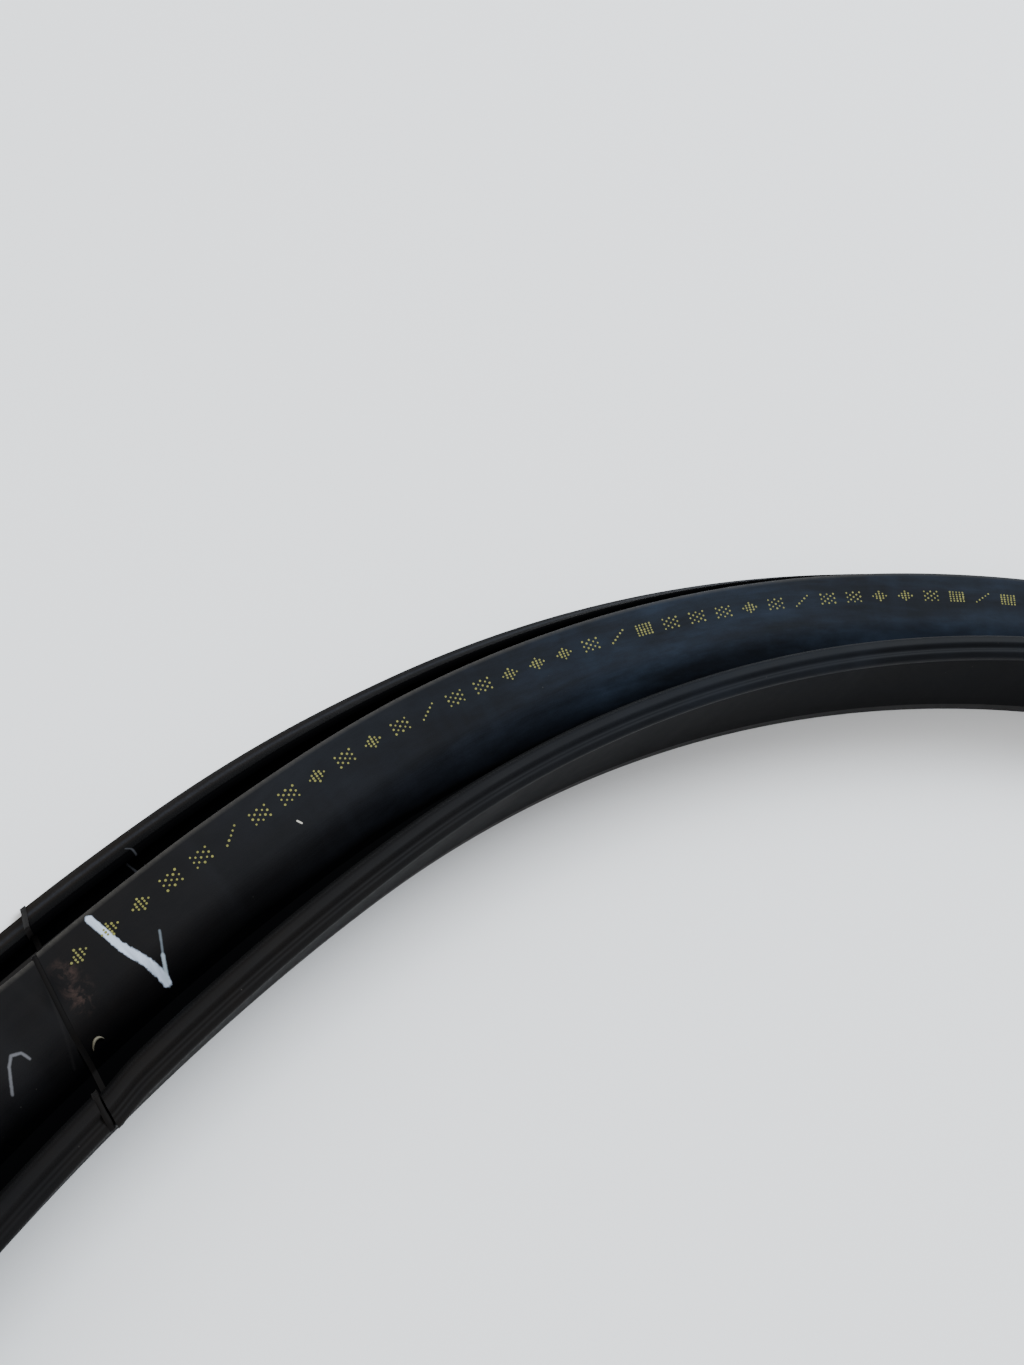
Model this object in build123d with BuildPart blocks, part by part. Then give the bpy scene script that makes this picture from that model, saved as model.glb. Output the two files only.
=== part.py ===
"""Closed loop of rubber weatherstrip track: a steel-cored channel with a printed web and a beaded seal.

Millimetres, +Z up. The loop lies flat: the floor is Z = 0 and the origin is under the loop's centre.
The loop is an oval of four tangent arcs, two END arcs and two wider SIDE arcs. One section runs round
it. A section point is (u, h): u is measured outward from the web's free edge, h is the height.
"""
import math
import os

from build123d import *

os.makedirs("parts", exist_ok=True)

# The loop: radii of the web's free edge
END_RADIUS = 300.0
SIDE_RADIUS = 525.0
END_HALF_TURN = 60.0  # degrees that an end arc turns each side of the X axis

# The moulded closing splice, on the +Y side: a thin slab of rubber between the run's two cut ends
SPLICE_ANGLE = 67.0  # degrees round the side arc's centre, where the slab starts
SPLICE_WIDTH = 2.0
SPLICE_PROUD = 0.3  # how far the moulding stands proud of the extrusion

# The web, the channel's upper leg. It falls inward from its free edge, then rolls over into a valley
WEB_EDGE_HEIGHT = 18.6
WEB_SLOPE = math.tan(math.radians(17))
VALLEY_SLOPE = math.tan(math.radians(48))
ROLL_AT = -14.0  # u where the two slopes would meet
ROLL_RADIUS = 9.0
WEB_THICKNESS = 3.4
SKIN_THICKNESS = 1.2  # the smooth printed cover on top of the web
EDGE_CAP = 2.2  # how much of the free edge is cover right through
WEB_ROOT = -20.4  # u where the web meets the inner wall

# The base leg on the floor, and the folded lip at its end
BASE_THICKNESS = 3.2
BASE_END = 5.0
RIM_REACH = 14.1  # the rim stands out this far past the web's free edge
RIM_ROUND = 1.0
LIP_FOOT = 2.6  # thickness of the lip where it lies on the floor
LIP_TOP = 9.3
LIP_TOP_REACH = 7.6

# The inner wall and the bulb and bead that stand on it
WALL_FOOT = -29.1  # u of the wall's inner face at the floor
WALL_LEAN = 0.172  # the face moves inward this much per mm of height
BULB_FOOT = -24.6  # u where the bulb's outer side meets the valley
BULB_TOP = 27.9
BULB_WALL = 1.5
BEAD_TOP = 31.5

# The steel carrier
CORE_THICKNESS = 0.8
CORE_HEIGHT = 1.2  # of the lower leg's underside
CORE_LOWER_END = 3.5
CORE_UPPER_END = -4.0
CORE_LIFT = 0.7  # of the upper leg above the web's underside
WINDOW_PITCH = 24.0
WINDOW_WIDTH = 6.0
WINDOW_ENDS = (-12.2, -6.4)  # u where the legs' windows start and stop

# Grip fins: u of each root's outer side
OUTER_FIN = -6.0
INNER_FIN = -11.6
FIN_ROOT = 1.8
FIN_LENGTH = 4.6
FIN_RISE = 2.2

# Other hidden pieces
CORD_RADIUS = 0.5
WALL_CORD_AT = (-27.3, 5.0)
EDGE_CORD_AT = (-1.1, 16.4)
PLUG_CLEAR = 0.1
PLUG_TURN = 5.0  # degrees of side arc that the plug fills, centred on the splice


def web_height(u):
    """Height of the web's top surface at u, before its roll is rounded."""
    rolled = max(0, ROLL_AT - u)
    return WEB_EDGE_HEIGHT + max(u, ROLL_AT) * WEB_SLOPE - rolled * VALLEY_SLOPE


def underside(u):
    """Height of the web's lower surface at u."""
    return web_height(u) - WEB_THICKNESS


def face_at(h):
    """u of the loop's inner face at height h."""
    return WALL_FOOT - WALL_LEAN * h


WALL_TOP = web_height(WEB_ROOT)


class Arc:
    """One arc of the loop: its centre, its radius and the angles it runs between."""

    def __init__(self, centre, radius, start, end):
        self.centre = centre
        self.radius = radius
        self.start = start
        self.turn = end - start
        self.axis = Axis((*centre, 0), (0, 0, 1))
        a = math.radians(start)
        self.plane = Plane(
            origin=(*centre, 0), x_dir=(math.cos(a), math.sin(a), 0), z_dir=(math.sin(a), -math.cos(a), 0)
        )


END_OFFSET = (SIDE_RADIUS - END_RADIUS) * math.cos(math.radians(END_HALF_TURN))
SIDE_OFFSET = (SIDE_RADIUS - END_RADIUS) * math.sin(math.radians(END_HALF_TURN))
FAR_TURN = 180 - END_HALF_TURN

UPPER_SIDE = (0, -SIDE_OFFSET)
LOWER_SIDE = (0, SIDE_OFFSET)

SPLICE_TURN = math.degrees(SPLICE_WIDTH / SIDE_RADIUS)
SPLICE_END = SPLICE_ANGLE + SPLICE_TURN
SPLICE = [Arc(UPPER_SIDE, SIDE_RADIUS, SPLICE_ANGLE, SPLICE_END)]

# The extruded run starts at the splice's left end and goes round to its right end
RUN = [
    Arc(UPPER_SIDE, SIDE_RADIUS, SPLICE_END, FAR_TURN),
    Arc((-END_OFFSET, 0), END_RADIUS, FAR_TURN, 360 - FAR_TURN),
    Arc(LOWER_SIDE, SIDE_RADIUS, 360 - FAR_TURN, 360 - END_HALF_TURN),
    Arc((END_OFFSET, 0), END_RADIUS, -END_HALF_TURN, END_HALF_TURN),
    Arc(UPPER_SIDE, SIDE_RADIUS, END_HALF_TURN, SPLICE_ANGLE),
]
PLUG_MIDDLE = SPLICE_ANGLE + SPLICE_TURN / 2
PLUG = [Arc(UPPER_SIDE, SIDE_RADIUS, PLUG_MIDDLE - PLUG_TURN / 2, PLUG_MIDDLE + PLUG_TURN / 2)]


def sweep_round(section, arcs):
    """Turn a section round each arc. section draws its outline at the arc's radius."""
    for arc in arcs:
        with BuildSketch(arc.plane) as profile:
            section(arc.radius)
        revolve(profile.sketch, axis=arc.axis, revolution_arc=arc.turn)


def cut_windows():
    """Cut the carrier's windows through both legs, evenly along each arc."""
    low, high = WINDOW_ENDS
    for arc in RUN:
        count = int(math.radians(arc.turn) * arc.radius / WINDOW_PITCH)
        reach = arc.radius + (low + high) / 2
        with Locations((*arc.centre, 0)):
            with PolarLocations(reach, count, arc.start + arc.turn / count / 2, arc.turn, endpoint=False):
                Box(high - low, WINDOW_WIDTH, 2 * BEAD_TOP, mode=Mode.SUBTRACT)


def outline(radius, points, mode=Mode.ADD):
    """A closed face through section points (u, h) or (u, h, corner radius)."""
    with BuildLine() as path:
        FilletPolyline(
            *[(radius + u, h) for u, h, *_ in points],
            radius=[corner[0] if corner else 0 for _, _, *corner in points],
            close=True,
        )
    make_face(path.edges(), mode=mode)


# The steel carrier: a U in section, whose closed end is in the inner wall


def core_section(radius, mode=Mode.ADD):
    back = WEB_ROOT - CORE_THICKNESS
    lower = CORE_HEIGHT + CORE_THICKNESS

    def leg(u):
        return underside(u) + CORE_LIFT

    outline(
        radius,
        [
            (CORE_LOWER_END, CORE_HEIGHT),
            (back, CORE_HEIGHT, 1.0),
            (back, leg(WEB_ROOT) + CORE_THICKNESS, 0.9),
            (ROLL_AT, leg(ROLL_AT) + CORE_THICKNESS, 2.5),
            (CORE_UPPER_END, leg(CORE_UPPER_END) + CORE_THICKNESS),
            (CORE_UPPER_END, leg(CORE_UPPER_END)),
            (ROLL_AT, leg(ROLL_AT), 2.5),
            (WEB_ROOT, leg(WEB_ROOT), 0.4),
            (WEB_ROOT, lower, 0.4),
            (CORE_LOWER_END, lower),
        ],
        mode,
    )


with BuildPart() as steel_core:
    sweep_round(core_section, RUN)
    cut_windows()
steel_core.part.label = "steel_core"
export_step(steel_core.part, "parts/steel_core.step")


# The channel: base leg, inner wall and web leg, which hold the carrier between them


def base_section(radius):
    outline(
        radius,
        [
            (face_at(0), 0, 0.6),
            (BASE_END, 0),
            (BASE_END, BASE_THICKNESS),
            (face_at(BASE_THICKNESS), BASE_THICKNESS),
        ],
    )
    core_section(radius, Mode.SUBTRACT)


with BuildPart() as base_leg:
    sweep_round(base_section, RUN)
base_leg.part.label = "base_leg"
export_step(base_leg.part, "parts/base_leg.step")


def cord_at(radius, place, mode=Mode.ADD):
    u, h = place
    with Locations((radius + u, h)):
        Circle(CORD_RADIUS, mode=mode)


def wall_section(radius):
    outline(
        radius,
        [
            (face_at(BASE_THICKNESS), BASE_THICKNESS),
            (WEB_ROOT, BASE_THICKNESS),
            (WEB_ROOT, WALL_TOP),
            (face_at(WALL_TOP), WALL_TOP),
        ],
    )
    core_section(radius, Mode.SUBTRACT)
    cord_at(radius, WALL_CORD_AT, Mode.SUBTRACT)


with BuildPart() as inner_wall:
    sweep_round(wall_section, RUN)
inner_wall.part.label = "inner_wall"
export_step(inner_wall.part, "parts/inner_wall.step")


def web_leg_section(radius):
    outline(
        radius,
        [
            (WEB_ROOT, WALL_TOP - SKIN_THICKNESS),
            (ROLL_AT, web_height(ROLL_AT) - SKIN_THICKNESS, ROLL_RADIUS),
            (-EDGE_CAP, web_height(-EDGE_CAP) - SKIN_THICKNESS),
            (-EDGE_CAP, underside(-EDGE_CAP)),
            (ROLL_AT, underside(ROLL_AT)),
            (WEB_ROOT, underside(WEB_ROOT)),
        ],
    )
    core_section(radius, Mode.SUBTRACT)


with BuildPart() as web_leg:
    sweep_round(web_leg_section, RUN)
web_leg.part.label = "web_leg"
export_step(web_leg.part, "parts/web_leg.step")


# The printed cover: a thin skin on the web that wraps its free edge


def cover_section(radius):
    outline(
        radius,
        [
            (WEB_ROOT, WALL_TOP),
            (ROLL_AT, web_height(ROLL_AT), ROLL_RADIUS),
            (0, WEB_EDGE_HEIGHT, 0.5),
            (0, underside(0) + 0.2, 0.8),
            (-EDGE_CAP, underside(-EDGE_CAP)),
            (-EDGE_CAP, web_height(-EDGE_CAP) - SKIN_THICKNESS),
            (ROLL_AT, web_height(ROLL_AT) - SKIN_THICKNESS, ROLL_RADIUS),
            (WEB_ROOT, WALL_TOP - SKIN_THICKNESS),
        ],
    )
    cord_at(radius, EDGE_CORD_AT, Mode.SUBTRACT)


with BuildPart() as web_cover:
    sweep_round(cover_section, RUN)
web_cover.part.label = "web_cover"
export_step(web_cover.part, "parts/web_cover.step")


# The outer lip: it runs out along the floor and folds back up over the channel's mouth


def lip_section(radius):
    outline(
        radius,
        [
            (BASE_END, 0),
            (RIM_REACH + RIM_ROUND, 0, RIM_ROUND),
            (LIP_TOP_REACH, LIP_TOP, 0.7),
            (LIP_TOP_REACH - 1.6, LIP_TOP - 1.2, 0.7),
            (RIM_REACH - 3.5, LIP_FOOT, 0.6),
            (BASE_END, LIP_FOOT),
        ],
    )


with BuildPart() as outer_lip:
    sweep_round(lip_section, RUN)
outer_lip.part.label = "outer_lip"
export_step(outer_lip.part, "parts/outer_lip.step")


# The hollow bulb on the inner wall, and the double-ridged bead along its top


def bulb_outline(radius):
    outline(
        radius,
        [
            (face_at(WALL_TOP), WALL_TOP),
            (BULB_FOOT, WALL_TOP),
            (BULB_FOOT - 2, WALL_TOP + 5, 6),
            (face_at(BULB_TOP) + 5, BULB_TOP),
            (face_at(BULB_TOP), BULB_TOP),
        ],
    )


def bulb_hollow(radius, clear=0.0, mode=Mode.ADD):
    low = WALL_TOP + BULB_WALL + clear
    high = BULB_TOP - BULB_WALL - clear
    wall = BULB_WALL + clear
    outline(
        radius,
        [
            (face_at(low) + wall, low, 0.7),
            (BULB_FOOT - 0.9 - wall, low, 0.7),
            (BULB_FOOT - 2.1 - wall, WALL_TOP + 5, 6),
            (face_at(BULB_TOP) + 5 - wall, high, 0.6),
            (face_at(high) + wall, high, 0.6),
        ],
        mode,
    )


def bulb_section(radius):
    bulb_outline(radius)
    bulb_hollow(radius, mode=Mode.SUBTRACT)


with BuildPart() as inner_bulb:
    sweep_round(bulb_section, RUN)
inner_bulb.part.label = "inner_bulb"
export_step(inner_bulb.part, "parts/inner_bulb.step")


def bead_section(radius, mode=Mode.ADD):
    face = face_at(BULB_TOP)
    outline(
        radius,
        [
            (face - 0.2, BULB_TOP, 0.2),
            (face - 0.7, BULB_TOP + 1.6, 0.8),
            (face + 0.4, BEAD_TOP - 0.8, 0.6),
            (face + 1.3, BEAD_TOP - 1.1, 0.4),
            (face + 2.0, BEAD_TOP, 0.9),
            (face + 4.4, BEAD_TOP, 1.3),
            (face + 5.9, BULB_TOP + 1.4, 1.0),
            (face + 5.2, BULB_TOP, 0.3),
        ],
        mode,
    )


with BuildPart() as bead_cap:
    sweep_round(bead_section, RUN)
bead_cap.part.label = "bead_cap"
export_step(bead_cap.part, "parts/bead_cap.step")


# Grip fins in the channel: two hang from the web and two stand on the base, all leaning inward


def fin_section(surface, side):
    """A fin rooted on a surface. side is -1 for one that hangs and 1 for one that stands."""

    def section(radius, root):
        tip = root - FIN_LENGTH
        outline(
            radius,
            [
                (root, surface(root)),
                (root - FIN_ROOT, surface(root - FIN_ROOT)),
                (tip, surface(tip) + side * (FIN_RISE - 0.7), 0.2),
                (tip + 0.4, surface(tip + 0.4) + side * FIN_RISE, 0.2),
            ],
        )

    return section


def base_top(u):
    """Height of the base leg's upper surface, the same everywhere."""
    return BASE_THICKNESS


for level, surface, side in (("upper", underside, -1), ("lower", base_top, 1)):
    for place, root in (("outer", OUTER_FIN), ("inner", INNER_FIN)):
        section = fin_section(surface, side)
        with BuildPart() as fin:
            sweep_round(lambda radius: section(radius, root), RUN)
        fin.part.label = f"fin_{level}_{place}"
        export_step(fin.part, f"parts/fin_{level}_{place}.step")


# Butyl mastic at the bottom of the channel


def sealant_section(radius):
    outline(
        radius,
        [
            (WEB_ROOT, BASE_THICKNESS),
            (WEB_ROOT + 3.0, BASE_THICKNESS, 0.6),
            (WEB_ROOT + 2.0, BASE_THICKNESS + 1.7, 0.8),
            (WEB_ROOT, BASE_THICKNESS + 0.5),
        ],
    )


with BuildPart() as sealant_bead:
    sweep_round(sealant_section, RUN)
sealant_bead.part.label = "sealant_bead"
export_step(sealant_bead.part, "parts/sealant_bead.step")


# Glass-fibre cords that stop the rubber from stretching

for name, place in (("wall_cord", WALL_CORD_AT), ("edge_cord", EDGE_CORD_AT)):
    with BuildPart() as cord:
        sweep_round(lambda radius: cord_at(radius, place), RUN)
    cord.part.label = name
    export_step(cord.part, f"parts/{name}.step")


# The moulded splice: the whole section in one thin slab of rubber, a little proud of the extrusion


def splice_section(radius):
    proud = SPLICE_PROUD
    face = face_at(BULB_TOP)
    outline(
        radius,
        [
            (face_at(0) - proud, 0, 0.6),
            (face - proud, BULB_TOP),
            (face - 0.7 - proud, BULB_TOP + 1.6, 0.8),
            (face + 0.4 - proud, BEAD_TOP - 0.6, 0.8),
            (face + 2.0, BEAD_TOP - 0.1, 0.9),
            (face + 4.4, BEAD_TOP - 0.1, 1.3),
            (face + 5.9 + proud, BULB_TOP + 1.4, 1.0),
            (face + 5 + proud, BULB_TOP),
            (BULB_FOOT - 2 + proud, WALL_TOP + 5, 6),
            (BULB_FOOT + proud, WALL_TOP + proud, 0.8),
            (WEB_ROOT, WALL_TOP + proud, 0.8),
            (ROLL_AT, web_height(ROLL_AT) + proud, ROLL_RADIUS),
            (0, WEB_EDGE_HEIGHT + proud, 0.5),
            (proud, underside(0) + 0.2, 0.8),
            (-EDGE_CAP, underside(-EDGE_CAP)),
            (ROLL_AT, underside(ROLL_AT)),
            (WEB_ROOT, underside(WEB_ROOT)),
            (WEB_ROOT, BASE_THICKNESS),
            (BASE_END, BASE_THICKNESS),
            (RIM_REACH - 3.5, LIP_FOOT, 0.6),
            (LIP_TOP_REACH - 1.6, LIP_TOP - 1.2, 0.7),
            (LIP_TOP_REACH, LIP_TOP + proud, 0.7),
            (RIM_REACH + RIM_ROUND + proud, 0, RIM_ROUND),
        ],
    )
    bulb_hollow(radius, mode=Mode.SUBTRACT)


with BuildPart() as moulded_splice:
    sweep_round(splice_section, SPLICE)
moulded_splice.part.label = "moulded_splice"
export_step(moulded_splice.part, "parts/moulded_splice.step")

# The sponge plug that lines up the bulb's two ends inside the splice
with BuildPart() as bulb_plug:
    sweep_round(lambda radius: bulb_hollow(radius, PLUG_CLEAR), PLUG)
bulb_plug.part.label = "bulb_plug"
export_step(bulb_plug.part, "parts/bulb_plug.step")
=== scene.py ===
"""Looks for the rubber weatherstrip loop: detailed rubber, print, marks and splice around the CAD frame.

Sizes are in metres. The loop is the CAD's: four tangent arcs, measured at the web's free edge, with one
section round it. A section point is (u, h): u is outward from that edge and h is the height.
"""

import math
import random

import bmesh
import bpy
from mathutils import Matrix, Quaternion, Vector, noise

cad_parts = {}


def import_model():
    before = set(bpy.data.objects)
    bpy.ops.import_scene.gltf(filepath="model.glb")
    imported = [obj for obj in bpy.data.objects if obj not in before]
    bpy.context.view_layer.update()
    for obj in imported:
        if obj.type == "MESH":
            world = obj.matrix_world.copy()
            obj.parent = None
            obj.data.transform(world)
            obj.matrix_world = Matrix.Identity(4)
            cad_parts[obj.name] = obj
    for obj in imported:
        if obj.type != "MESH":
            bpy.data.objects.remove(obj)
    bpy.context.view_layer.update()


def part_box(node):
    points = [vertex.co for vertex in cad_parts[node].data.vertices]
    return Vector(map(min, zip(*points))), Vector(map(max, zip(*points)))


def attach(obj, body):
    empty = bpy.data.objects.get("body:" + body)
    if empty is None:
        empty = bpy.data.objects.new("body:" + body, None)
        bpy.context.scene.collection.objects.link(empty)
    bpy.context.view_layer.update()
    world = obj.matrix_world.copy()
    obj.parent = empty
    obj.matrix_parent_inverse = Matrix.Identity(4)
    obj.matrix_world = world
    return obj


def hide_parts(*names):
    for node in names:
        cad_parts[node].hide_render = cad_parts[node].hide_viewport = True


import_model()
BODY = "root"
MM = 0.001

# ---------------------------------------------------------------- the loop, as in the CAD

COVER_LOW, COVER_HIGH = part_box("web_cover")
END_RADIUS = 300 * MM
SIDE_RADIUS = 525 * MM
END_HALF_TURN = math.radians(60)
END_OFFSET = COVER_HIGH[0] - END_RADIUS
SIDE_OFFSET = SIDE_RADIUS - COVER_HIGH[1]
SPLICE_AT = math.radians(66.6)

WEB_EDGE = 18.6
WEB_SLOPE = math.tan(math.radians(17))
VALLEY_SLOPE = math.tan(math.radians(48))
ROLL_AT = -14.0
ROLL_RADIUS = 9.0
WEB_THICKNESS = 3.4
SKIN = 1.2
EDGE_CAP = 2.2
WEB_ROOT = -20.4
BASE_TOP = 3.2
BASE_EDGE = 5.0
LIP_TOP = 9.3
FACE_FOOT = -29.1
FACE_LEAN = 0.172
BULB_TOP = 27.9
BEAD_TOP = 31.5


def web_height(u):
    """Height of the web's top at u, before its roll is rounded."""
    return WEB_EDGE + max(u, ROLL_AT) * WEB_SLOPE - max(0, ROLL_AT - u) * VALLEY_SLOPE


def underside(u):
    """Height of the web's underside at u."""
    return web_height(u) - WEB_THICKNESS


def face_at(h):
    """Where the wall's inner face is at height h."""
    return FACE_FOOT - FACE_LEAN * h


WEB_LOW = web_height(WEB_ROOT)
FACE_TOP = face_at(BULB_TOP)
TURN = 2 * math.pi
LEFT = math.pi - END_HALF_TURN
# Each arc: centre, radius, start and end angle. The loop starts at the splice and goes round to the left.
LOOP = [
    ((0, -SIDE_OFFSET), SIDE_RADIUS, SPLICE_AT, LEFT),
    ((-END_OFFSET, 0), END_RADIUS, LEFT, TURN - LEFT),
    ((0, SIDE_OFFSET), SIDE_RADIUS, TURN - LEFT, TURN - END_HALF_TURN),
    ((END_OFFSET, 0), END_RADIUS, TURN - END_HALF_TURN, TURN + END_HALF_TURN),
    ((0, -SIDE_OFFSET), SIDE_RADIUS, TURN + END_HALF_TURN, TURN + SPLICE_AT),
]
LOOP_LENGTH = sum(radius * (end - start) for _, radius, start, end in LOOP)


def place(s, u, h):
    """The point at section point (u, h) in mm, s metres along the loop to the left from the splice."""
    s %= LOOP_LENGTH
    for (x, y), radius, start, end in LOOP:
        length = radius * (end - start)
        if s <= length + 1e-9:
            angle = start + s / radius
            reach = radius + u * MM
            return Vector((x + reach * math.cos(angle), y + reach * math.sin(angle), h * MM))
        s -= length
    raise ValueError("past the end of the loop")


JOINT_AT = -1.0
JOINT_SKEW = -0.4
JOINT_RAKE = 0.35


def joint(u, h):
    """How far along the loop the splice's oblique cut is at a section point."""
    return (JOINT_AT + JOINT_SKEW * u + JOINT_RAKE * h) * MM


# ---------------------------------------------------------------- sections


def rounded(corners, steps=4):
    """Section points round a closed outline of (u, h, corner radius), with each corner as an arc."""
    points = []
    for i, (u, h, radius) in enumerate(corners):
        here = Vector((u, h))
        if radius == 0:
            points.append((u, h))
            continue
        before = (Vector(corners[i - 1][:2]) - here).normalized()
        after = (Vector(corners[(i + 1) % len(corners)][:2]) - here).normalized()
        half = before.angle(after) / 2
        middle = here + (before + after).normalized() * radius / math.sin(half)
        first = here + before * radius / math.tan(half)
        last = here + after * radius / math.tan(half)
        for k in range(steps + 1):
            spoke = (first - middle).lerp(last - middle, k / steps).normalized() * radius
            points.append(tuple(middle + spoke))
    return points


def divided(points, longest=2.0):
    """The same closed outline with its long straight sides cut into shorter ones."""
    out = []
    for a, b in zip(points, points[1:] + points[:1]):
        count = max(1, math.ceil(math.dist(a, b) / longest))
        out += [(a[0] + (b[0] - a[0]) * k / count, a[1] + (b[1] - a[1]) * k / count) for k in range(count)]
    return out


COVER = [
    (WEB_ROOT, WEB_LOW, 0),
    (ROLL_AT, web_height(ROLL_AT), ROLL_RADIUS),
    (0, WEB_EDGE, 0.45),
    (0, underside(0) + 0.2, 0.8),
    (-EDGE_CAP, underside(-EDGE_CAP), 0),
    (-EDGE_CAP, web_height(-EDGE_CAP) - SKIN, 0),
    (ROLL_AT, web_height(ROLL_AT) - SKIN, ROLL_RADIUS),
    (WEB_ROOT, WEB_LOW - SKIN, 0),
]
WEB = [
    (WEB_ROOT, WEB_LOW - SKIN, 0),
    (ROLL_AT, web_height(ROLL_AT) - SKIN, ROLL_RADIUS),
    (-EDGE_CAP, web_height(-EDGE_CAP) - SKIN, 0),
    (-EDGE_CAP, underside(-EDGE_CAP), 0),
    (ROLL_AT, underside(ROLL_AT), 0),
    (WEB_ROOT, underside(WEB_ROOT), 0),
]
BASE = [
    (face_at(0), 0, 0.6),
    (BASE_EDGE, 0, 0),
    (BASE_EDGE, BASE_TOP, 0),
    (face_at(BASE_TOP), BASE_TOP, 0),
]
LIP = [
    (BASE_EDGE, 0, 0),
    (15.1, 0, 1.0),
    (7.6, LIP_TOP, 0.7),
    (6.0, 8.1, 0.7),
    (10.6, 2.6, 0.6),
    (BASE_EDGE, 2.6, 0),
]
BULB = [
    (face_at(WEB_LOW), WEB_LOW, 0),
    (-24.6, WEB_LOW, 0),
    (-26.6, WEB_LOW + 5, 6),
    (FACE_TOP + 5, BULB_TOP, 0),
    (FACE_TOP, BULB_TOP, 0),
]
BEAD = [
    (FACE_TOP - 0.2, BULB_TOP, 0.2),
    (FACE_TOP - 0.7, BULB_TOP + 1.6, 0.9),
    (FACE_TOP + 0.5, BEAD_TOP - 0.7, 0.8),
    (FACE_TOP + 1.5, BEAD_TOP - 1.2, 0.7),
    (FACE_TOP + 2.4, BEAD_TOP, 0.9),
    (FACE_TOP + 4.4, BEAD_TOP, 1.3),
    (FACE_TOP + 5.9, BULB_TOP + 1.4, 1.0),
    (FACE_TOP + 5.2, BULB_TOP, 0.3),
]
WALL = [
    (face_at(BASE_TOP), BASE_TOP, 0),
    (WEB_ROOT, BASE_TOP, 0),
    (WEB_ROOT, WEB_LOW, 0),
    (face_at(WEB_LOW), WEB_LOW, 0),
]
SPLICE = [
    (face_at(0) - 0.3, 0, 0.5),
    (FACE_TOP - 0.3, BULB_TOP, 0),
    (FACE_TOP - 1.0, BULB_TOP + 1.6, 0.8),
    (FACE_TOP + 0.1, BEAD_TOP - 0.6, 0.8),
    (FACE_TOP + 2.0, BEAD_TOP - 0.1, 0.9),
    (FACE_TOP + 4.4, BEAD_TOP - 0.1, 1.3),
    (FACE_TOP + 6.2, BULB_TOP + 1.4, 1.0),
    (FACE_TOP + 5.3, BULB_TOP, 0),
    (-26.3, WEB_LOW + 5, 6),
    (-24.3, WEB_LOW + 0.1, 0.8),
    (WEB_ROOT, WEB_LOW + 0.1, 0.8),
    (ROLL_AT, web_height(ROLL_AT) + 0.1, ROLL_RADIUS),
    (0, WEB_EDGE + 0.1, 0.5),
    (0.2, underside(0) + 0.2, 0.8),
    (-EDGE_CAP, underside(-EDGE_CAP), 0),
    (ROLL_AT, underside(ROLL_AT), 0),
    (WEB_ROOT, underside(WEB_ROOT), 0),
    (WEB_ROOT, BASE_TOP, 0),
    (BASE_EDGE, BASE_TOP, 0),
    (10.6, 2.6, 0.6),
    (6.0, 8.1, 0.7),
    (7.6, 9.6, 0.7),
    (15.4, 0, 1.0),
]

# ---------------------------------------------------------------- meshes

# Steps along the loop, and how far from the splice the two finer ones reach
SPLICE_STEP = 0.6 * MM
NEAR_STEP = 1.6 * MM
FAR_STEP = 5 * MM
SPLICE_REACH = 9 * MM
NEAR_REACH = 320 * MM
LEAST_STEP = 0.3 * MM

SKEW_REACH = 85 * MM  # how far from the splice its cut's slant is still felt
HALF_GAP = 0.6 * MM  # half the moulding's length along the loop
SHARP = math.radians(38)


def stations():
    """Distances along the run, close together each side of the splice."""
    s = HALF_GAP
    out = []
    while s < LOOP_LENGTH - HALF_GAP - LEAST_STEP:
        out.append(s)
        near = min(s, LOOP_LENGTH - s)
        s += SPLICE_STEP if near < SPLICE_REACH else NEAR_STEP if near < NEAR_REACH else FAR_STEP
    return out + [LOOP_LENGTH - HALF_GAP]


def soft(x):
    """0 to 1 with no corner at either end."""
    x = max(0.0, min(1.0, x))
    return x * x * (3 - 2 * x)


def wander(s, seed, size, length=0.11):
    """A slow smooth drift along the loop, between -size and size, that closes on itself."""
    angle = TURN * s / LOOP_LENGTH
    spread = LOOP_LENGTH / length / TURN
    at = Vector((spread * math.cos(angle), spread * math.sin(angle), seed))
    return size * max(-1.0, min(1.0, noise.noise(at) * 1.6))


def sweep(name, outline, drift=None, places=None, steps=4):
    """A closed solid of one section swept along the loop. Its lay is (distance, u, h) for materials.

    drift(s, u, h, gap) gives a section point's change in mm. gap is its signed distance from the cut.
    """
    section = divided(rounded(outline, steps))
    places = places or stations()
    mesh = bpy.data.meshes.new(name)
    build = bmesh.new()
    lay = build.verts.layers.float_vector.new("lay")
    rings = []
    for s in places:
        gap = s if s < LOOP_LENGTH / 2 else s - LOOP_LENGTH
        slant = 1 - soft(abs(gap) / SKEW_REACH)
        ring = []
        for u, h in section:
            along = s + joint(u, h) * slant
            du, dh = drift(along, u, h, gap) if drift else (0, 0)
            vert = build.verts.new(place(along, u + du, h + dh))
            vert[lay] = (along, u * MM, h * MM)
            ring.append(vert)
        rings.append(ring)
    count = len(section)
    for one, two in zip(rings, rings[1:]):
        for k in range(count):
            build.faces.new((one[k], one[(k + 1) % count], two[(k + 1) % count], two[k]))
    build.faces.new(rings[0])
    build.faces.new(rings[-1][::-1])
    bmesh.ops.recalc_face_normals(build, faces=build.faces)
    build.to_mesh(mesh)
    build.free()
    piece = bpy.data.objects.new(name, mesh)
    bpy.context.scene.collection.objects.link(piece)
    mesh.shade_smooth()
    mesh.set_sharp_from_angle(angle=SHARP)
    return piece


# ---------------------------------------------------------------- materials


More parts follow.
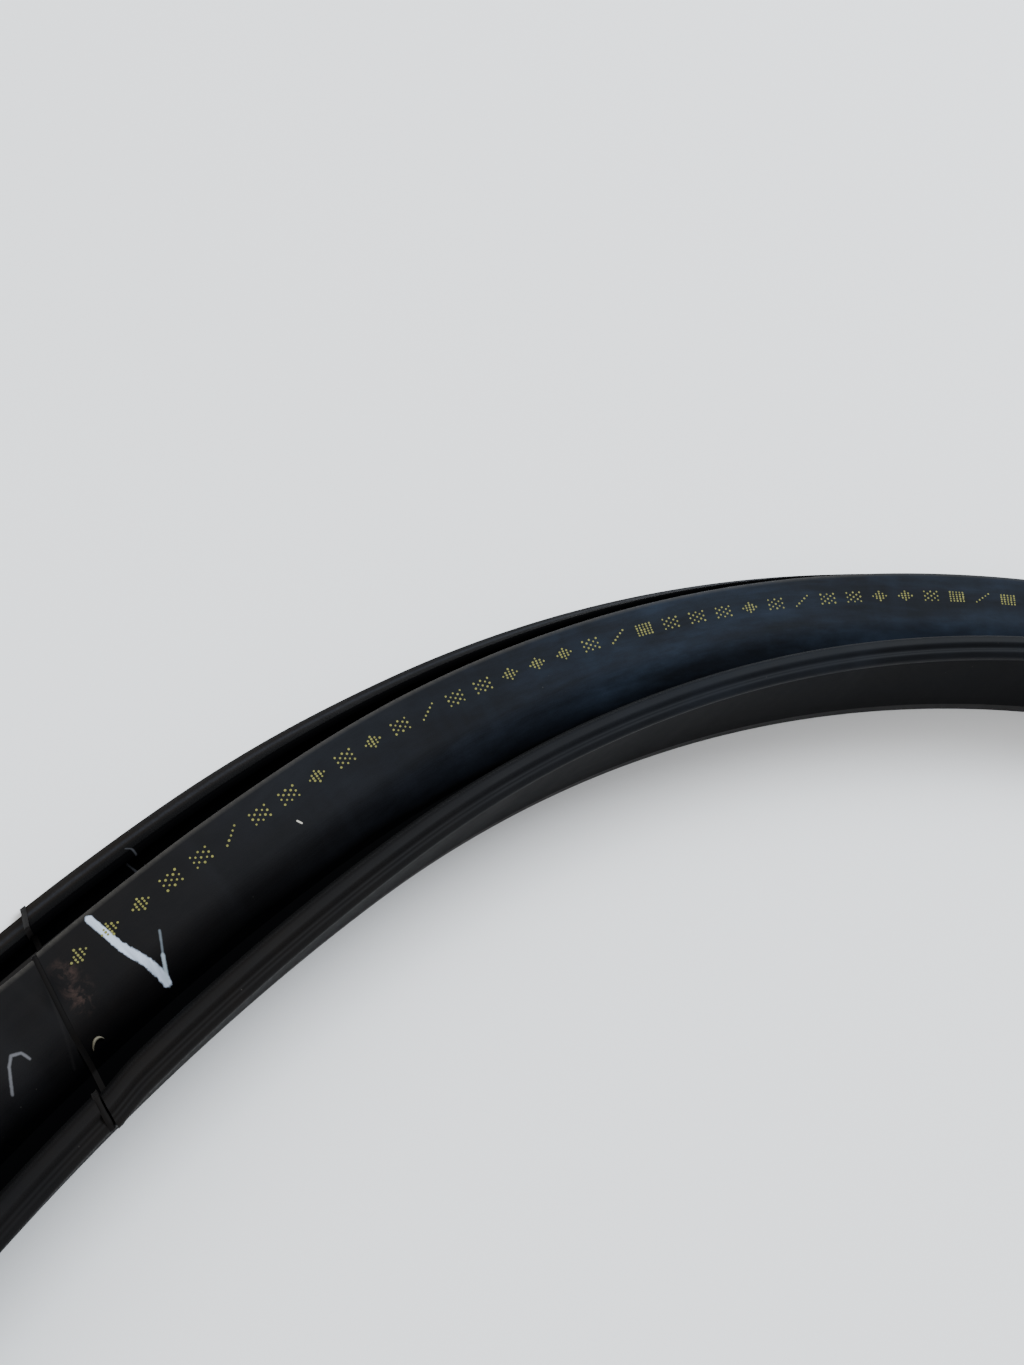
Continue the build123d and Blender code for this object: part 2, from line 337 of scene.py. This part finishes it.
class Nodes:
    """Short calls for a material's node tree."""

    def __init__(self, name):
        self.material = bpy.data.materials.new(name)
        self.material.use_nodes = True
        self.tree = self.material.node_tree
        self.shader = self.tree.nodes["Principled BSDF"]
        self.lay = self.node("ShaderNodeAttribute")
        self.lay.attribute_name = "lay"

    def node(self, kind, **settings):
        made = self.tree.nodes.new(kind)
        for key, value in settings.items():
            setattr(made, key, value)
        return made

    def link(self, out, into):
        self.tree.links.new(out, into)

    def stretch(self, x, y, z=1.0, source=None):
        """The lay (or another vector) scaled on each axis."""
        made = self.node("ShaderNodeMapping")
        made.inputs["Scale"].default_value = (x, y, z)
        self.link(source or self.lay.outputs["Vector"], made.inputs["Vector"])
        return made.outputs["Vector"]

    def noise(self, vector, scale, detail=4.0, rough=0.55, distortion=0.0):
        made = self.node("ShaderNodeTexNoise")
        made.inputs["Scale"].default_value = scale
        made.inputs["Detail"].default_value = detail
        made.inputs["Roughness"].default_value = rough
        made.inputs["Distortion"].default_value = distortion
        self.link(vector, made.inputs["Vector"])
        return made.outputs["Fac"]

    def spots(self, vector, scale, size):
        """1 in the middle of scattered small spots, 0 outside them."""
        made = self.node("ShaderNodeTexVoronoi")
        made.inputs["Scale"].default_value = scale
        self.link(vector, made.inputs["Vector"])
        return self.band(made.outputs["Distance"], size, size * 0.5)

    def band(self, value, low, high, to_low=0.0, to_high=1.0):
        """value mapped from low..high to to_low..to_high, held at the ends."""
        made = self.node("ShaderNodeMapRange")
        made.inputs["From Min"].default_value = low
        made.inputs["From Max"].default_value = high
        made.inputs["To Min"].default_value = to_low
        made.inputs["To Max"].default_value = to_high
        self.link(value, made.inputs["Value"])
        return made.outputs["Result"]

    def math(self, how, a, b):
        made = self.node("ShaderNodeMath", operation=how)
        for value, socket in ((a, made.inputs[0]), (b, made.inputs[1])):
            if isinstance(value, (int, float)):
                socket.default_value = value
            else:
                self.link(value, socket)
        return made.outputs[0]

    def mix(self, factor, a, b):
        """Colour a where factor is 0 and b where it is 1. Each is a colour or a socket."""
        made = self.node("ShaderNodeMix", data_type="RGBA")
        self.link(factor, made.inputs[0])
        for value, socket in ((a, made.inputs[6]), (b, made.inputs[7])):
            if isinstance(value, tuple):
                socket.default_value = (*value, 1)
            else:
                self.link(value, socket)
        return made.outputs[2]

    def bump(self, height, strength, distance, under=None):
        made = self.node("ShaderNodeBump")
        made.inputs["Strength"].default_value = strength
        made.inputs["Distance"].default_value = distance
        self.link(height, made.inputs["Height"])
        if under:
            self.link(under, made.inputs["Normal"])
        return made.outputs["Normal"]

    def finish(self, colour, rough, normal=None, specular=0.3):
        self.link(colour, self.shader.inputs["Base Color"])
        self.link(rough, self.shader.inputs["Roughness"])
        if normal:
            self.link(normal, self.shader.inputs["Normal"])
        self.shader.inputs["Specular IOR Level"].default_value = specular
        return self.material

    def near_splice(self, reach):
        """1 beside the splice, falling to 0 at reach metres along the loop on both sides."""
        s = self.axis("X")
        gap = self.math("MINIMUM", s, self.math("SUBTRACT", LOOP_LENGTH, s))
        return self.band(gap, 0.0, reach, 1.0, 0.0)

    def axis(self, which):
        """One part of the lay: X is the distance along the loop, Y is u and Z is h."""
        split = self.node("ShaderNodeSeparateXYZ")
        self.link(self.lay.outputs["Vector"], split.inputs[0])
        return split.outputs[which]

    def signed(self):
        """The lay with its distance counted both ways from the splice, left of it positive."""
        s = self.axis("X")
        past = self.math("GREATER_THAN", s, LOOP_LENGTH / 2)
        made = self.node("ShaderNodeCombineXYZ")
        self.link(self.math("SUBTRACT", s, self.math("MULTIPLY", past, LOOP_LENGTH)), made.inputs[0])
        self.link(self.axis("Y"), made.inputs[1])
        return made.outputs[0]

    def vector(self, how, a, b):
        made = self.node("ShaderNodeVectorMath", operation=how)
        for value, socket in ((a, made.inputs[0]), (b, made.inputs[1])):
            if isinstance(value, tuple):
                socket.default_value = value
            else:
                self.link(value, socket)
        return made.outputs["Value" if how in ("DOT_PRODUCT", "LENGTH", "DISTANCE") else "Vector"]

    def stroke(self, at, start, end, width, wobble=None, blur=0.25):
        """1 on a straight stroke between two (distance, u) points in mm, with a soft and ragged edge."""
        a = (start[0] * MM, start[1] * MM, 0.0)
        reach = ((end[0] - start[0]) * MM, (end[1] - start[1]) * MM, 0.0)
        length = reach[0] ** 2 + reach[1] ** 2
        local = self.vector("SUBTRACT", at, a)
        share = self.band(self.vector("DOT_PRODUCT", local, reach), 0.0, length, 0.0, 1.0)
        nearest = self.node("ShaderNodeVectorMath", operation="SCALE")
        nearest.inputs[0].default_value = reach
        self.link(share, nearest.inputs["Scale"])
        distance = self.vector("DISTANCE", local, nearest.outputs["Vector"])
        half = width * MM / 2
        if wobble:
            distance = self.math("ADD", distance, self.math("MULTIPLY", wobble, half * 0.9))
        return self.band(distance, half * (1 + blur), half * (1 - blur), 0.0, 1.0)


# Painted shade: the near-black colour of the valley, the groove and the bulb's valley side.
SHADE_BLACK = (0.0008, 0.0008, 0.001)
DUST = (0.12, 0.115, 0.10)


def rubber(name, dark, bloom_and_reflection, rough, specular, amount=1.0, brown=0.6, shade_mask=None, marks=None):
    """Extruded rubber: a dark base, chalky bloom in soft patches with a bluish tint that is partly a
    painted sky reflection, die lines, cross wipes, dust and scuffs, and near the splice a warm tint that
    is partly dust and partly painted sheen.

    The shade mask is 1 where painted shade turns the surface near black and lowers its specular level.
    marks(n, colour) paints over the rubber.
    """
    n = Nodes(name)
    patches = n.noise(n.stretch(11, 55, 55), 1.0, 5, 0.62, 0.5)
    chalk = n.noise(n.stretch(95, 210, 210), 1.0, 6, 0.72)
    wiped = n.noise(n.stretch(75, 9, 9), 1.0, 3, 0.6)
    cover = n.math("MULTIPLY", n.band(patches, 0.4, 0.64, 0.2, 1.05), n.band(chalk, 0.3, 0.75, 0.35, 1.0))
    cover = n.math("MULTIPLY", cover, n.band(n.near_splice(0.15), 0.0, 1.0, amount, amount * 0.25))
    # The bloom colour is a chalky bloom whose blue tint is partly a painted sky reflection.
    grey = sum(bloom_and_reflection) / 6
    film_and_reflection = n.mix(n.near_splice(0.13), bloom_and_reflection, (grey * 1.05, grey, grey))
    colour = n.mix(cover, dark, film_and_reflection)
    colour = n.mix(n.band(wiped, 0.55, 0.78, 0.0, 0.3 * amount), colour, film_and_reflection)
    # Dust and painted sheen: a warm brown tint in chalky patches near the splice, partly dust and partly a
    # painted golden-brown sheen.
    warm = (dark[0] * 1.9 + 0.004, dark[1] * 1.35 + 0.002, dark[2] * 0.9)
    dust_and_sheen = n.math("MULTIPLY", n.near_splice(0.14), n.band(chalk, 0.25, 0.7, 0.3, 1.0))
    colour = n.mix(n.math("MULTIPLY", dust_and_sheen, brown), colour, warm)
    specks = n.spots(n.stretch(1, 1, 1), 420, 0.07)
    sparse = n.math("MULTIPLY", specks, n.band(n.noise(n.stretch(30, 30, 30), 1.0, 2), 0.58, 0.66))
    colour = n.mix(n.math("MULTIPLY", sparse, 0.5), colour, DUST)
    shine = None
    # Painted shade: where the shade mask is 1 the colour goes near black and the specular level drops to
    # 0.01.
    if shade_mask:
        black = shade_mask(n)
        colour = n.mix(black, colour, SHADE_BLACK)
        shine = n.band(black, 0.0, 1.0, specular, 0.01)
    if marks:
        colour = marks(n, colour)
    roughness = n.band(n.math("ADD", cover, n.band(wiped, 0.3, 0.7, 0, 0.5)), 0.0, 1.2, rough[0], rough[1])
    die = n.noise(n.stretch(4, 2600, 2600), 1.0, 2, 0.5)
    skin = n.noise(n.stretch(1500, 1500, 1500), 1.0, 2, 0.6)
    normal = n.bump(die, 0.14, 0.00012)
    normal = n.bump(skin, 0.22, 0.00006, normal)
    done = n.finish(colour, roughness, normal, specular)
    if shine:
        n.link(shine, n.shader.inputs["Specular IOR Level"])
    return done


def valley(n):
    """The web's rolled-over side, down in the valley beside the bulb, painted near black as the shade
    there.
    """
    ragged = n.math("MULTIPLY", n.noise(n.stretch(40, 120, 120), 1.0, 4), 0.003)
    near = n.math("MULTIPLY", n.near_splice(0.36), 0.0028)
    u = n.math("SUBTRACT", n.math("ADD", n.axis("Y"), ragged), near)
    return n.band(u, -0.0162, -0.0202, 0.0, 1.0)


def outer_side(n):
    """The bulb's side that faces the valley, painted near black as the shade there."""
    lean = n.math("ADD", n.axis("Y"), n.math("MULTIPLY", n.axis("Z"), FACE_LEAN))
    return n.band(lean, -0.0275, -0.0265, 0.0, 1.0)


def bead_shoulder(n):
    """The bead's side above the valley, near the splice, painted near black as the shade there."""
    near = n.band(n.near_splice(0.25), 0.0, 0.6, 0.0, 0.8)
    return n.math("MULTIPLY", near, n.band(n.axis("Y"), -0.0300, -0.0288, 0.0, 1.0))


def groove(n):
    """The lip's side that faces the channel's mouth, painted near black as the shade inside the channel.
    """
    return n.band(n.axis("Y"), 0.0094, 0.0106, 1.0, 0.0)


PASTE = (0.10, 0.06, 0.048)
BURNT = (0.0006, 0.0006, 0.001)
SEAM = (0.012, 0.011, 0.011)
PAINT = (0.5, 0.57, 0.68)
THIN_PAINT = (0.42, 0.5, 0.56)
FAINT_PAINT = (0.3, 0.35, 0.4)
SCRAWL = (0.26, 0.26, 0.28)
# Painted highlight colour for the web's rounded free edge.
EDGE_HIGHLIGHT = (0.055, 0.051, 0.045)
PALE_SPECK = (0.55, 0.52, 0.45)
SCRATCHED = (0.06, 0.062, 0.07)
# Painted highlight colour for the folded lip's ridge.
RIDGE_HIGHLIGHT = (0.018, 0.02, 0.026)
SCRAWL_TURNS = [(18.2, -12.4), (18.6, -10.8), (20.2, -10.0), (21.8, -11.2), (24.4, -14.6)]


def cover_marks(n, colour):
    """The inspector's paint tick and scrawl, what the splicing press left, and a painted highlight along
    the web's free edge.
    """
    at = n.signed()
    fray = n.band(n.noise(n.stretch(900, 900, 900), 1.0, 4, 0.7), 0.25, 0.75, -0.3, 0.3)
    streak = n.band(n.noise(n.stretch(1500, 160, 160), 1.0, 3), 0.25, 0.6, 0.7, 1.0)
    residue = n.band(n.noise(n.stretch(420, 420, 420), 1.0, 5, 0.7, 0.6), 0.46, 0.66)
    paste = n.math("MULTIPLY", n.stroke(at, (3.6, -6.2), (4.0, -10.6), 4.0, fray, 0.8), residue)
    colour = n.mix(n.math("MULTIPLY", paste, 0.4), colour, PASTE)
    burnt = n.stroke(at, (6.6, -5.4), (7.4, -7.4), 3.2, fray, 0.8)
    colour = n.mix(n.math("MULTIPLY", burnt, 0.9), colour, BURNT)
    seam = n.stroke(at, (5.6, -0.6), (12.6, -18.0), 0.5, fray, 0.8)
    colour = n.mix(n.math("MULTIPLY", seam, 0.35), colour, SEAM)
    thick = n.stroke(at, (-6.5, -1.6), (-7.8, -9.0), 1.5, fray, 0.2)
    thick = n.math("MAXIMUM", thick, n.stroke(at, (-7.8, -9.0), (-11.3, -17.6), 1.8, fray, 0.2))
    colour = n.mix(n.math("MULTIPLY", thick, streak), colour, PAINT)
    thin = n.stroke(at, (-11.5, -17.5), (-13.0, -14.4), 0.7, fray, 0.5)
    colour = n.mix(n.math("MULTIPLY", thin, 0.75), colour, THIN_PAINT)
    faint = n.stroke(at, (-13.0, -14.4), (-15.4, -10.8), 0.4, fray, 0.7)
    colour = n.mix(n.math("MULTIPLY", faint, 0.35), colour, FAINT_PAINT)
    hook = n.stroke(at, SCRAWL_TURNS[0], SCRAWL_TURNS[1], 0.5, fray, 0.5)
    for start, end in zip(SCRAWL_TURNS[1:], SCRAWL_TURNS[2:]):
        hook = n.math("MAXIMUM", hook, n.stroke(at, start, end, 0.5, fray, 0.5))
    colour = n.mix(n.math("MULTIPLY", hook, 0.4), colour, SCRAWL)
    # Painted highlight: a thin pale line along the web's rounded free edge, where it catches the light.
    edge_highlight = n.math("MULTIPLY", n.band(n.axis("Y"), -0.0011, -0.0004), n.band(n.axis("Z"), 0.0168, 0.0176))
    edge_highlight = n.math("MULTIPLY", edge_highlight, n.band(fray, -0.3, 0.3, 0.3, 0.7))
    colour = n.mix(edge_highlight, colour, EDGE_HIGHLIGHT)
    speck = n.stroke(at, (-52.3, -10.2), (-52.8, -11.0), 0.35, None, 0.4)
    return n.mix(speck, colour, PALE_SPECK)


def lip_marks(n, colour):
    """A scratch across the folded lip, right of the splice, and a painted highlight along its ridge round
    the whole loop.
    """
    at = n.signed()
    fray = n.band(n.noise(n.stretch(900, 900, 900), 1.0, 4, 0.7), 0.25, 0.75, -0.4, 0.4)
    scratch = n.stroke(at, (-26.4, 5.0), (-26.0, 9.0), 0.4, fray, 0.5)
    colour = n.mix(n.math("MULTIPLY", scratch, 0.5), colour, SCRATCHED)
    # Painted highlight: a thin bluish line along the lip's ridge round the whole loop, standing in for its
    # lit ridge.
    ridge = n.math("MULTIPLY", n.band(n.axis("Y"), 0.0104, 0.0110), n.band(n.axis("Y"), 0.0122, 0.0114))
    return n.mix(n.math("MULTIPLY", ridge, n.band(fray, -0.4, 0.4, 0.2, 0.8)), colour, RIDGE_HIGHLIGHT)


EARTH = (0.02, 0.018, 0.015)


def solid(name, dark, light, rough, grain=(400, 400, 400), metal=0.0, specular=0.3, dirt=EARTH):
    """A material for the CAD's own solids, laid out by their place in the part."""
    n = Nodes(name)
    where = n.node("ShaderNodeTexCoord").outputs["Object"]
    fine = n.noise(n.stretch(*grain, source=where), 1.0, 5, 0.65)
    broad = n.noise(n.stretch(24, 24, 60, source=where), 1.0, 4, 0.6, 0.4)
    colour = n.mix(n.band(fine, 0.3, 0.7), dark, light)
    colour = n.mix(n.band(broad, 0.52, 0.75, 0.0, 0.5), colour, dirt)
    roughness = n.band(n.math("ADD", fine, broad), 0.6, 1.4, rough[0], rough[1])
    n.shader.inputs["Metallic"].default_value = metal
    return n.finish(colour, roughness, n.bump(fine, 0.25, 0.00008), specular)


def show(piece, material, slot, *stands_for):
    """A finished piece: its material, its body and the CAD nodes that it stands for."""
    piece.data.materials.clear()
    piece.data.materials.append(material)
    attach(piece, BODY)
    if stands_for:
        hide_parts(*stands_for)


cover_rubber = rubber(
    "cover_rubber",
    dark=(0.0026, 0.0028, 0.0036),
    # A chalky bloom whose strong blue is partly a painted sky reflection.
    bloom_and_reflection=(0.0180, 0.0275, 0.045),
    rough=(0.6, 0.75),
    specular=0.07,
    brown=0.3,
    shade_mask=valley,
    marks=cover_marks,
)
lip_rubber = rubber(
    "lip_rubber",
    dark=(0.002, 0.002, 0.0024),
    bloom_and_reflection=(0.006, 0.0066, 0.009),
    rough=(0.6, 0.78),
    specular=0.016,
    brown=0.9,
    shade_mask=groove,
    marks=lip_marks,
)
wall_rubber = rubber(
    "wall_rubber",
    dark=(0.003, 0.003, 0.0035),
    bloom_and_reflection=(0.0075, 0.008, 0.0095),
    rough=(0.6, 0.75),
    specular=0.03,
    amount=0.8,
    brown=0.25,
    shade_mask=outer_side,
)
bead_rubber = rubber(
    "bead_rubber",
    dark=(0.003, 0.0033, 0.004),
    bloom_and_reflection=(0.008, 0.0098, 0.0135),
    rough=(0.5, 0.66),
    specular=0.06,
    amount=0.8,
    brown=0.4,
    shade_mask=bead_shoulder,
)
splice_rubber = rubber(
    "splice_rubber",
    dark=(0.0026, 0.0027, 0.0031),
    bloom_and_reflection=(0.013, 0.013, 0.0135),
    rough=(0.6, 0.75),
    specular=0.05,
    brown=0.3,
)
leg_rubber = rubber(
    "leg_rubber",
    dark=(0.004, 0.004, 0.0044),
    bloom_and_reflection=(0.010, 0.0105, 0.0115),
    rough=(0.5, 0.66),
    specular=0.16,
)

# ---------------------------------------------------------------- the extruded run


def edge_drift(s, u, h, gap):
    """The web's free edge waves a little, its root stays put, and left of the splice it is pulled in."""
    share = max(0.0, 1 - u / WEB_ROOT)
    pulled = 0.5 * soft(1 - gap / 0.016) if gap > 0 else 0.0
    return (-(abs(wander(s, 1.3, 0.35)) + pulled) * share, -abs(wander(s, 4.1, 0.25)) * share)


def bead_drift(s, u, h, gap):
    """The bulb and its bead lean in and out a little, and swell just right of the splice."""
    share = max(0.0, (h - WEB_LOW) / (BEAD_TOP - WEB_LOW))
    swell = 0.7 * soft(1 + gap / 0.009) if gap < 0 else 0.0
    return ((wander(s, 7.7, 0.4) - swell) * share, -abs(wander(s, 9.2, 0.3)) * share)


def lip_drift(s, u, h, gap):
    """The folded lip's free top wanders, and just right of the splice the whole lip stands out."""
    share = max(0.0, h / LIP_TOP)
    out = max(0.0, min(1.0, (u - BASE_EDGE) / 5))
    pulled = 0.9 if gap > 0 else 0.9 * soft((-gap - 0.04) / 0.06)
    du = wander(s, 12.4, 0.5) * share - pulled * out
    dh = wander(s, 15.8, 0.35) * share - 0.6 * pulled * share
    return du, dh


show(sweep("web_cover_skin", COVER, edge_drift, steps=6), cover_rubber, "cover_rubber", "web_cover")
show(sweep("web_leg_skin", WEB), leg_rubber, "dense_rubber", "web_leg")
show(sweep("base_leg_skin", BASE), leg_rubber, "dense_rubber", "base_leg")
show(sweep("outer_lip_skin", LIP, lip_drift), lip_rubber, "dense_rubber", "outer_lip")
show(sweep("bulb_skin", BULB, bead_drift), wall_rubber, "sponge_rubber", "inner_bulb")
show(sweep("bead_skin", BEAD, bead_drift), bead_rubber, "bead_rubber", "bead_cap")
show(sweep("wall_skin", WALL), wall_rubber, "dense_rubber", "inner_wall")

# ---------------------------------------------------------------- the moulded splice

SLAB = [-HALF_GAP, -0.5 * HALF_GAP, 0.0, 0.5 * HALF_GAP, HALF_GAP]


def pinch(s, u, h, gap):
    """The moulding is a little fuller in the middle than where it meets the extrusion."""
    fuller = 0.15 * (1 - (gap / HALF_GAP) ** 2) - 0.25
    return (fuller if u > -20 and h > 3 else -fuller if u < -28 else 0.0, fuller if h > 12 else 0.0)


show(sweep("moulded_splice_skin", SPLICE, pinch, SLAB), splice_rubber, "splice_rubber", "moulded_splice")

# ---------------------------------------------------------------- print and stuck scraps

PITCH = 7.65
SYMBOLS = 36
DOTS = 5  # rows and columns in a motif
COLUMN_STEP = 0.95
ROW_STEP = 0.56
ROW_START = -5.0
ROW_FALL = 1.3
DIVIDER_EVERY = 7
DOT_SIDES = 8
LIFT = 0.035
# Filled shapes on the dots: a lattice, a diamond and a square
MOTIFS = [
    lambda row, column: (row + column) % 2 == 0,
    lambda row, column: abs(row - 2) + abs(column - 2) <= 2,
    lambda row, column: True,
]


def on_cover(s, u):
    """A point just above the web's flat part, s metres along and u mm out."""
    h = web_height(u)
    du, dh = edge_drift(s, u, h, s)
    return place(s, u + du, h + dh + LIFT)


def dots():
    """A row of plain ink-jet dot motifs, with a slanted divider now and then."""
    chance = random.Random(11)
    build = bmesh.new()
    lay = build.verts.layers.float_vector.new("lay")
    for symbol in range(SYMBOLS):
        start = 1.3 - symbol * PITCH
        row_at = ROW_START - ROW_FALL * symbol / SYMBOLS
        divider = symbol % DIVIDER_EVERY == 5
        motif = MOTIFS[chance.randrange(len(MOTIFS))]
        for column in range(DOTS):
            for row in range(DOTS):
                if not (column == row if divider else motif(row, column)):
                    continue
                s = start - column * COLUMN_STEP + chance.uniform(-0.05, 0.05)
                u = row_at + (row - 2) * ROW_STEP + chance.uniform(-0.03, 0.03)
                size = chance.uniform(0.2, 0.27)
                ring = []
                for k in range(DOT_SIDES):
                    turn = TURN * k / DOT_SIDES
                    at = (s + 1.15 * size * math.cos(turn), u + 0.95 * size * math.sin(turn))
                    vert = build.verts.new(on_cover(at[0] * MM, at[1]))
                    vert[lay] = (at[0] * MM, at[1] * MM, 0)
                    ring.append(vert)
                build.faces.new(ring)
    bmesh.ops.recalc_face_normals(build, faces=build.faces)
    for face in build.faces:
        if face.normal.z < 0:
            face.normal_flip()
    mesh = bpy.data.meshes.new("print_dots")
    build.to_mesh(mesh)
    build.free()
    made = bpy.data.objects.new("print_dots", mesh)
    bpy.context.scene.collection.objects.link(made)
    return made


def ink():
    """Yellow marking ink, worn thin in places."""
    n = Nodes("print_ink")
    worn = n.noise(n.stretch(900, 900, 900), 1.0, 4, 0.7)
    patchy = n.noise(n.stretch(60, 60, 60), 1.0, 3)
    colour = n.mix(n.band(worn, 0.35, 0.7), (0.21, 0.2, 0.04), (0.13, 0.125, 0.035))
    colour = n.mix(n.band(patchy, 0.5, 0.75, 0.0, 0.4), colour, (0.09, 0.09, 0.05))
    return n.finish(colour, n.band(worn, 0.3, 0.7, 0.5, 0.8), n.bump(worn, 0.2, 0.00002), 0.25)


def curl():
    """A scrap of flash that curls up from the valley beside the splice."""
    build = bmesh.new()
    lay = build.verts.layers.float_vector.new("lay")
    rings = []
    for k in range(13):
        turn = math.pi * (0.1 + 0.85 * k / 12)
        s, u = 6.4 - 1.5 * math.cos(turn), -18.3 + 1.1 * math.sin(turn)
        lift = 0.15 + 0.5 * math.sin(turn)
        thin = 0.1 + 0.22 * math.sin(math.pi * (k + 1) / 14)
        ring = []
        for side, up in ((-1, 0), (0, 0.5), (1, 0), (0, -0.5)):
            point = place(s * MM, u + side * thin, web_height(u) + lift + up * thin)
            vert = build.verts.new(point)
            vert[lay] = (s * MM, (u + side * thin) * MM, up * MM)
            ring.append(vert)
        rings.append(ring)
    for one, two in zip(rings, rings[1:]):
        for k in range(4):
            build.faces.new((one[k], one[(k + 1) % 4], two[(k + 1) % 4], two[k]))
    build.faces.new(rings[0])
    build.faces.new(rings[-1][::-1])
    bmesh.ops.recalc_face_normals(build, faces=build.faces)
    mesh = bpy.data.meshes.new("flash_curl")
    build.to_mesh(mesh)
    build.free()
    mesh.shade_smooth()
    made = bpy.data.objects.new("flash_curl", mesh)
    bpy.context.scene.collection.objects.link(made)
    return made


def flash():
    """Pale rubber flash, rough and covered in dust."""
    n = Nodes("flash_scrap")
    grain = n.noise(n.stretch(1200, 1200, 1200), 1.0, 4, 0.6)
    colour = n.mix(n.band(grain, 0.35, 0.7), (0.09, 0.08, 0.055), (0.18, 0.165, 0.12))
    return n.finish(colour, n.band(grain, 0.3, 0.7, 0.5, 0.7), n.bump(grain, 0.2, 0.00003), 0.3)


show(dots(), ink(), "cover_rubber")
show(curl(), flash(), "splice_rubber")

# ---------------------------------------------------------------- the CAD's own hidden pieces

fin_rubber = solid("fin_rubber", (0.006, 0.006, 0.0065), (0.016, 0.016, 0.017), rough=(0.5, 0.7))
carrier_steel = solid(
    "carrier_steel",
    (0.36, 0.36, 0.37),
    (0.56, 0.56, 0.57),
    rough=(0.25, 0.5),
    grain=(160, 160, 2400),
    metal=1.0,
    specular=0.5,
    dirt=(0.2, 0.17, 0.14),
)
cord_yarn = solid(
    "cord_yarn",
    (0.55, 0.53, 0.48),
    (0.78, 0.76, 0.7),
    rough=(0.7, 0.9),
    grain=(2600, 2600, 900),
    specular=0.2,
    dirt=(0.4, 0.36, 0.3),
)
butyl_mastic = solid(
    "butyl_mastic",
    (0.004, 0.004, 0.0045),
    (0.012, 0.012, 0.012),
    rough=(0.12, 0.3),
    grain=(260, 260, 260),
    specular=0.5,
)
plug_sponge = solid(
    "plug_sponge",
    (0.01, 0.01, 0.01),
    (0.035, 0.034, 0.033),
    rough=(0.8, 0.95),
    grain=(1400, 1400, 1400),
    specular=0.15,
)
HIDDEN = {
    "steel_core": carrier_steel,
    "fin_upper_outer": fin_rubber,
    "fin_upper_inner": fin_rubber,
    "fin_lower_outer": fin_rubber,
    "fin_lower_inner": fin_rubber,
    "sealant_bead": butyl_mastic,
    "wall_cord": cord_yarn,
    "edge_cord": cord_yarn,
    "bulb_plug": plug_sponge,
}
for node, material in HIDDEN.items():
    for holder in bpy.data.objects[node].material_slots:
        holder.material = material

# ---------------------------------------------------------------- camera, lights, floor

CAMERA_AT = Vector((0.0731, 0.2469, 0.2917))
CAMERA_AIM = Vector((0.3002, 0.2231, 0.0186))
CAMERA_ROLL = math.radians(25.35)
LENS = 43.6
SENSOR = 36
FLOOR_HALF = 3.0


def camera():
    data = bpy.data.cameras.new("camera")
    data.lens = LENS
    data.sensor_width = SENSOR
    data.clip_start = 0.01
    made = bpy.data.objects.new("camera", data)
    bpy.context.scene.collection.objects.link(made)
    turn = (CAMERA_AIM - CAMERA_AT).to_track_quat("-Z", "Y") @ Quaternion((0, 0, 1), CAMERA_ROLL)
    made.rotation_mode = "QUATERNION"
    made.rotation_quaternion = turn
    made.location = CAMERA_AT
    bpy.context.scene.camera = made


def area_light(name, at, aim, size, power, colour):
    data = bpy.data.lights.new(name, "AREA")
    data.shape = "RECTANGLE"
    data.size, data.size_y = size
    data.energy = power
    data.color = colour
    made = bpy.data.objects.new(name, data)
    bpy.context.scene.collection.objects.link(made)
    made.location = at
    made.rotation_mode = "QUATERNION"
    made.rotation_quaternion = (Vector(aim) - Vector(at)).to_track_quat("-Z", "Y")


def floor():
    mesh = bpy.data.meshes.new("floor")
    signs = ((-1, -1), (1, -1), (1, 1), (-1, 1))
    corners = [(x * FLOOR_HALF, y * FLOOR_HALF, 0) for x, y in signs]
    mesh.from_pydata(corners, [], [(0, 1, 2, 3)])
    made = bpy.data.objects.new("floor", mesh)
    bpy.context.scene.collection.objects.link(made)
    material = bpy.data.materials.new("floor_paper")
    material.use_nodes = True
    shader = material.node_tree.nodes["Principled BSDF"]
    shader.inputs["Base Color"].default_value = (0.94, 0.94, 0.94, 1)
    shader.inputs["Roughness"].default_value = 0.9
    mesh.materials.append(material)


def world():
    made = bpy.data.worlds.new("studio")
    made.use_nodes = True
    back = made.node_tree.nodes["Background"]
    back.inputs["Color"].default_value = (0.93, 0.96, 1.0, 1)
    back.inputs["Strength"].default_value = 0.85
    bpy.context.scene.world = made


camera()
floor()
world()
area_light("key", (1.4, -0.4, 1.5), (0.3, 0.2, 0), (1.2, 1.2), 56, (0.86, 0.93, 1.0))
area_light("fill", (-0.9, 1.2, 1.6), (0.2, 0.2, 0), (1.6, 1.6), 22, (1.0, 0.97, 0.92))
